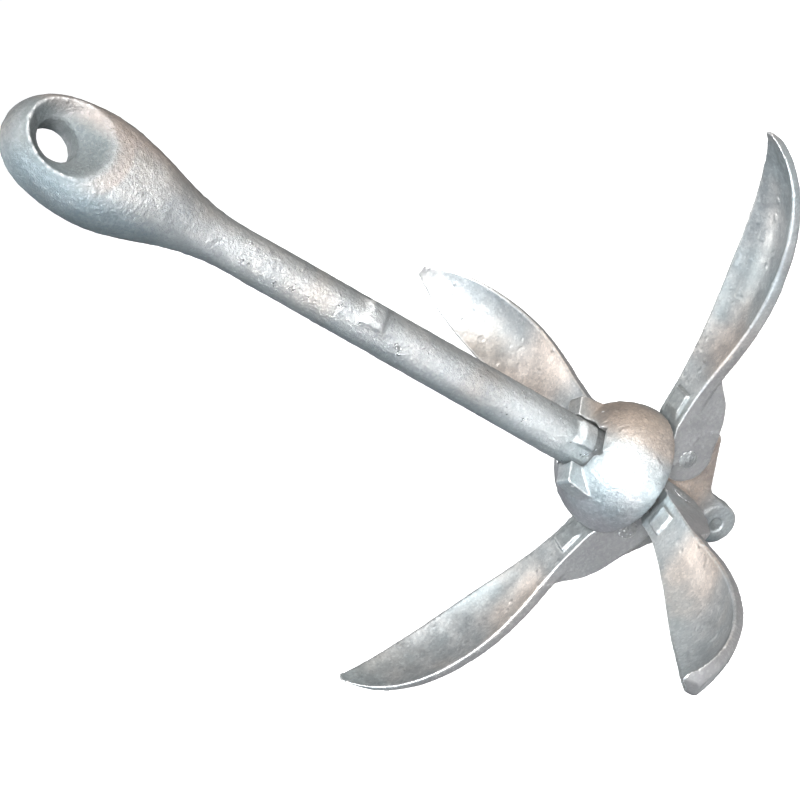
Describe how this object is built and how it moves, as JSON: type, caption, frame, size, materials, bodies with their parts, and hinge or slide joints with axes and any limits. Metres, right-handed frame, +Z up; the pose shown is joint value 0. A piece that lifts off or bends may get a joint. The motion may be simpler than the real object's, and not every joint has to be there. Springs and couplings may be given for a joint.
{
  "type": "folding grapnel anchor",
  "caption": "Galvanised folding grapnel anchor: leaf-bladed flukes hinged in a cast crown fold up beside the shank, held open or shut by a sliding locking collar.",
  "frame": {"origin": "centre of the trip-line hole in the tang under the crown", "axes": "+Z up the shank to the main eye; open flukes point along +X, +Y, -X and -Y; the trip-line hole runs along Y; the main eye hole runs along the +X -Y diagonal"},
  "size_m": [0.2844, 0.2759, 0.3477],
  "materials": {
    "shank_iron": "hot-dip galvanised, grainy as-cast surface",
    "collar_iron": "hot-dip galvanised, satin",
    "fluke_iron": "hot-dip galvanised, satin with bright edges",
    "rivet_steel": "galvanised, peened heads"
  },
  "bodies": {
    "shank": {"shank": "shank_iron", "pin_east": "rivet_steel", "pin_north": "rivet_steel", "pin_west": "rivet_steel", "pin_south": "rivet_steel"},
    "collar": {"collar": "collar_iron"},
    "fluke_east": {"fluke_east": "fluke_iron"},
    "fluke_north": {"fluke_north": "fluke_iron"},
    "fluke_west": {"fluke_west": "fluke_iron"},
    "fluke_south": {"fluke_south": "fluke_iron"}
  },
  "joints": [
    {"name": "collar_slide", "type": "slide", "parent": "shank", "child": "collar", "axis": [0, 0, 1], "range_m": [0, 0.134]},
    {"name": "fold_east", "type": "hinge", "parent": "shank", "child": "fluke_east", "pos_m": [0.0196, 0, 0.0405], "axis": [0, -1, 0], "range_deg": [0, 60.5]},
    {"name": "fold_north", "type": "hinge", "parent": "shank", "child": "fluke_north", "pos_m": [0, 0.0196, 0.0405], "axis": [1, 0, 0], "range_deg": [0, 55.5]},
    {"name": "fold_west", "type": "hinge", "parent": "shank", "child": "fluke_west", "pos_m": [-0.0196, 0, 0.0405], "axis": [0, 1, 0], "range_deg": [0, 64.5]},
    {"name": "fold_south", "type": "hinge", "parent": "shank", "child": "fluke_south", "pos_m": [0, -0.0196, 0.0405], "axis": [-1, 0, 0], "range_deg": [0, 62.5]}
  ],
  "couplings": [
    {"joint": "fold_east", "follows": "collar_slide", "rad_per_m": 7.88},
    {"joint": "fold_north", "follows": "collar_slide", "rad_per_m": 7.228},
    {"joint": "fold_west", "follows": "collar_slide", "rad_per_m": 8.401},
    {"joint": "fold_south", "follows": "collar_slide", "rad_per_m": 8.14}
  ]
}
